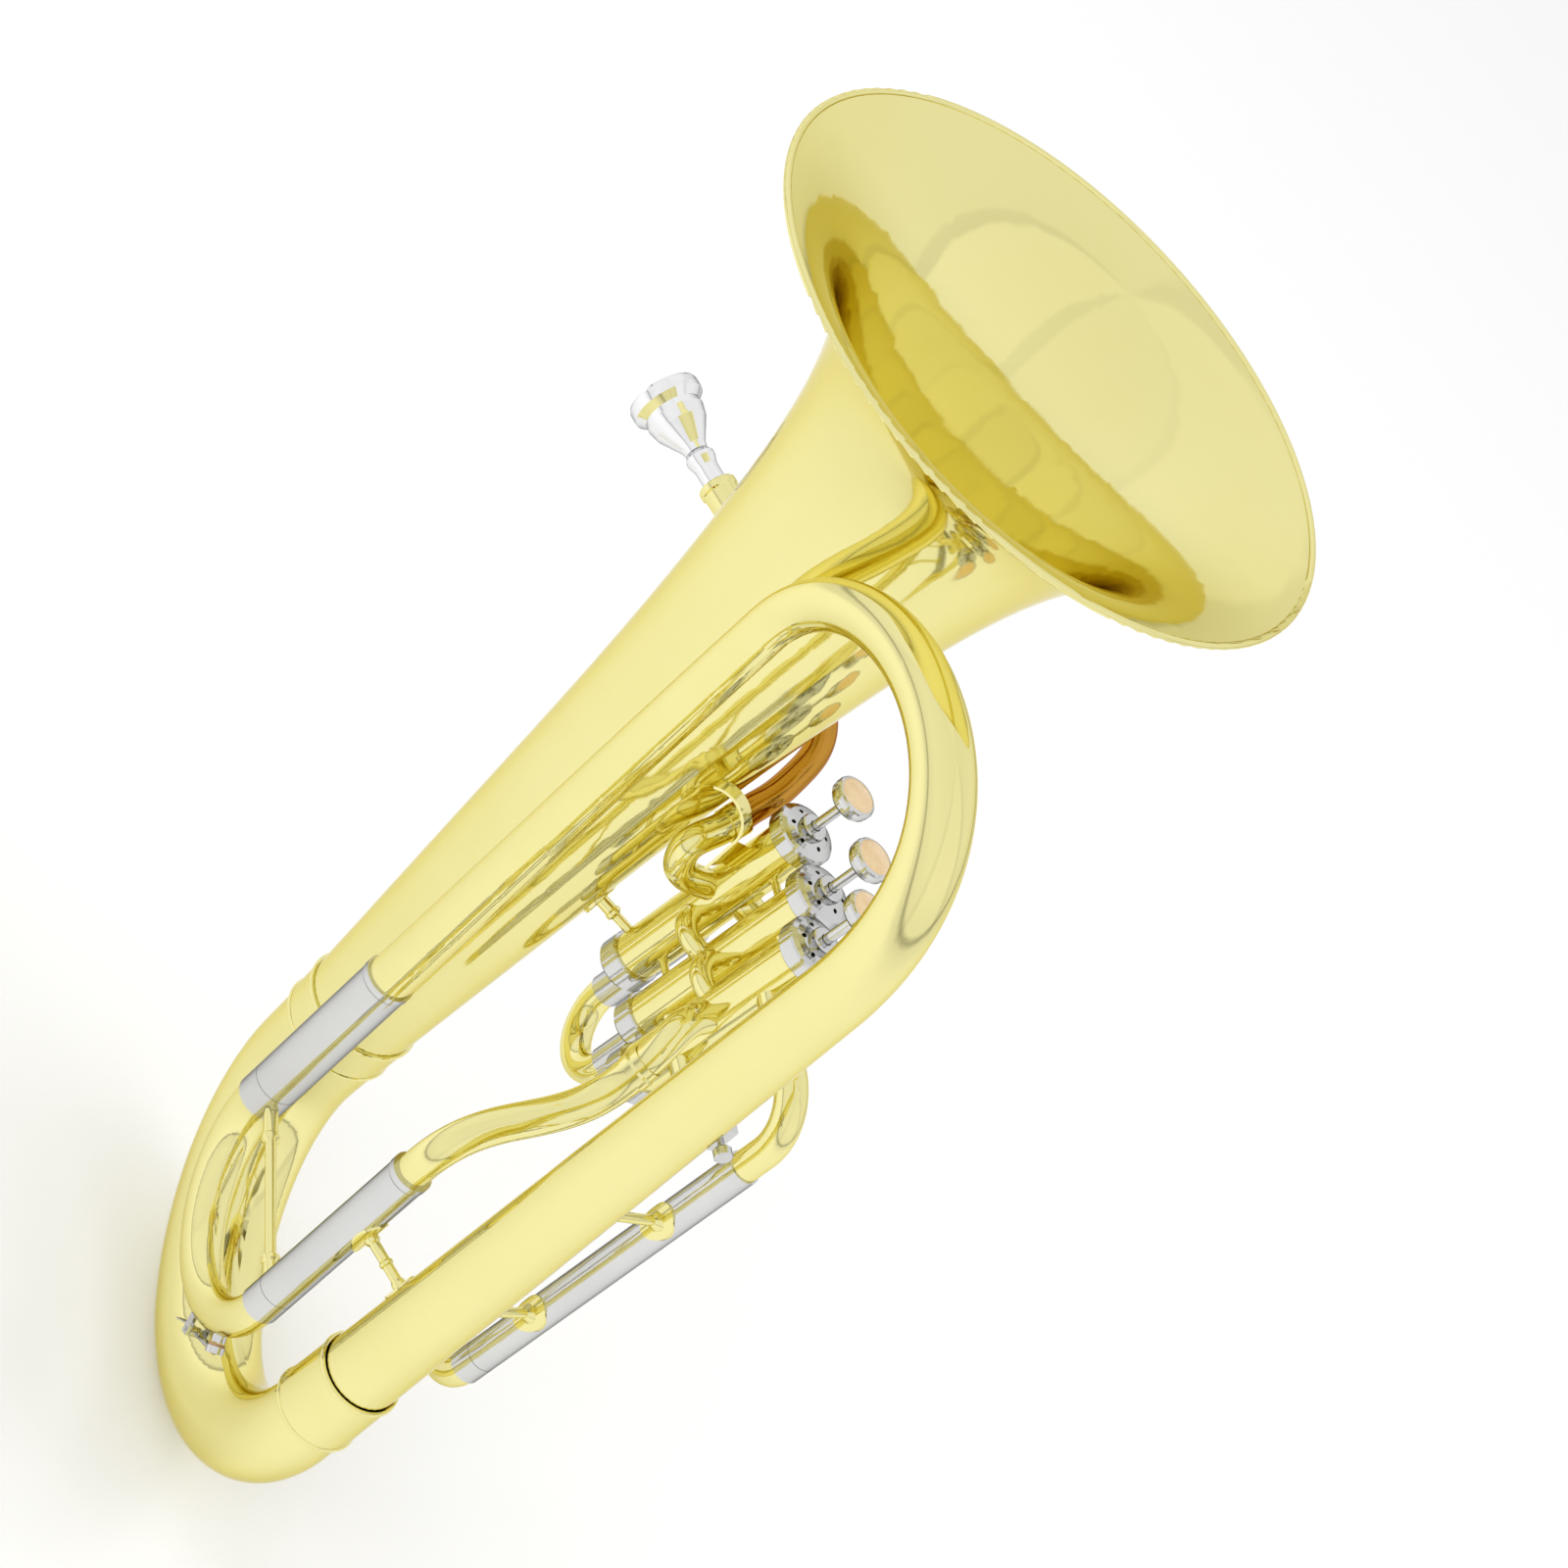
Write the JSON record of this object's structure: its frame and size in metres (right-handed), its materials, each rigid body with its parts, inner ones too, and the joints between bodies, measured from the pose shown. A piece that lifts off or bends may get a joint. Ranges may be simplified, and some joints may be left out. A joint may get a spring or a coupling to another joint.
{
  "type": "euphonium",
  "caption": "Upright three-valve euphonium with a flared bell, tapering bows, pull-out tuning slides, a water key and a cup mouthpiece.",
  "frame": {"origin": "lowest point of the bottom bow, halfway between the bell stem and the outer branch", "axes": "+Z along the bell axis towards the bell opening, +X from the bell to the outer branch, -Y the side of the main tuning slide"},
  "size_m": [0.3898, 0.28, 0.6443],
  "materials": {
    "lacquered_brass": "clear lacquered, polished",
    "nickel_silver": "polished nickel silver",
    "silver_plate": "bright silver plate",
    "rose_brass": "lacquered rose brass",
    "piston_nickel": "lapped, satin",
    "pearl": "glossy imitation pearl",
    "spring_steel": "drawn wire",
    "felt": "pressed felt",
    "cork": "cut cork"
  },
  "bodies": {
    "horn": {"bell": "lacquered_brass", "bell_ferrule": "lacquered_brass", "bottom_bow": "lacquered_brass", "branch_ferrule": "lacquered_brass", "outer_branch": "lacquered_brass", "top_bow": "lacquered_brass", "small_branch": "lacquered_brass", "upper_slide_sleeve": "nickel_silver", "lower_slide_sleeve": "nickel_silver", "valve_outlet_tube": "lacquered_brass", "tube_ferrules": "lacquered_brass", "outlet_elbow": "lacquered_brass", "valve_knuckles": "lacquered_brass", "casing_spacers": "lacquered_brass", "top_caps": "nickel_silver", "cap_felts": "felt", "bottom_caps": "nickel_silver", "valve_casing_1": "lacquered_brass", "valve_casing_2": "lacquered_brass", "valve_casing_3": "lacquered_brass", "valve_spring_1": "spring_steel", "valve_spring_2": "spring_steel", "valve_spring_3": "spring_steel", "first_slide_sleeves": "nickel_silver", "first_slide_branches": "lacquered_brass", "second_slide_sleeves": "nickel_silver", "third_slide_sleeves": "nickel_silver", "third_slide_branches": "lacquered_brass", "body_braces": "lacquered_brass", "third_slide_braces": "lacquered_brass", "finger_ring": "lacquered_brass", "leadpipe": "rose_brass", "leadpipe_elbow": "lacquered_brass", "mouthpiece_receiver": "lacquered_brass", "lyre_socket": "nickel_silver"},
    "valve_1": {"piston_1": "piston_nickel", "valve_stem_1": "nickel_silver", "finger_button_1": "nickel_silver", "button_pearl_1": "pearl"},
    "valve_2": {"piston_2": "piston_nickel", "valve_stem_2": "nickel_silver", "finger_button_2": "nickel_silver", "button_pearl_2": "pearl"},
    "valve_3": {"piston_3": "piston_nickel", "valve_stem_3": "nickel_silver", "finger_button_3": "nickel_silver", "button_pearl_3": "pearl"},
    "tuning_slide": {"tuning_slide_legs": "nickel_silver", "tuning_slide_bow": "lacquered_brass", "tuning_slide_brace": "lacquered_brass", "water_key_seat": "nickel_silver", "water_key_spring": "spring_steel"},
    "water_key": {"water_key_lever": "nickel_silver", "water_key_cork": "cork"},
    "first_slide": {"first_slide_bow": "lacquered_brass"},
    "second_slide": {"second_slide_bow": "lacquered_brass"},
    "third_slide": {"third_slide_legs": "nickel_silver", "third_slide_bow": "lacquered_brass"},
    "mouthpiece_body": {"mouthpiece": "silver_plate"},
    "lyre_thumbscrew": {"lyre_screw": "nickel_silver"}
  },
  "joints": [
    {"name": "valve_1_press", "type": "slide", "parent": "horn", "child": "valve_1", "axis": [-0.0459, -0.0628, -0.997], "range_m": [0, 0.016], "stiffness_N_per_m": 190, "springref_m": -0.018, "deforming": ["valve_spring_1"]},
    {"name": "valve_2_press", "type": "slide", "parent": "horn", "child": "valve_2", "axis": [-0.0459, -0.0628, -0.997], "range_m": [0, 0.016], "stiffness_N_per_m": 190, "springref_m": -0.018, "deforming": ["valve_spring_2"]},
    {"name": "valve_3_press", "type": "slide", "parent": "horn", "child": "valve_3", "axis": [-0.0459, -0.0628, -0.997], "range_m": [0, 0.016], "stiffness_N_per_m": 190, "springref_m": -0.018, "deforming": ["valve_spring_3"]},
    {"name": "tuning_slide_pull", "type": "slide", "parent": "horn", "child": "tuning_slide", "axis": [0, 0, -1], "range_m": [0, 0.024]},
    {"name": "water_key_press", "type": "hinge", "parent": "tuning_slide", "child": "water_key", "pos_m": [0.04649, -0.03229, 0.06884], "axis": [-0.0316, 0.9995, 0], "range_deg": [0, 18], "stiffness_Nm_per_rad": 0.02, "springref_deg": -45.84},
    {"name": "first_slide_pull", "type": "slide", "parent": "horn", "child": "first_slide", "axis": [-0.0459, -0.0628, -0.997], "range_m": [0, 0.04]},
    {"name": "second_slide_pull", "type": "slide", "parent": "horn", "child": "second_slide", "axis": [0.1799, 0.9837, 0], "range_m": [0, 0.015]},
    {"name": "third_slide_pull", "type": "slide", "parent": "horn", "child": "third_slide", "axis": [-0.0287, -0.04, -0.9988], "range_m": [0, 0.07]},
    {"name": "mouthpiece_pull", "type": "slide", "parent": "horn", "child": "mouthpiece_body", "axis": [-0.8492, -0.5272, -0.03], "range_m": [0, 0.03]},
    {"name": "lyre_screw_turn", "type": "hinge", "parent": "horn", "child": "lyre_thumbscrew", "pos_m": [0.10254, 0.02464, 0.374], "axis": [0.9887, 0.1498, 0], "continuous": true}
  ]
}
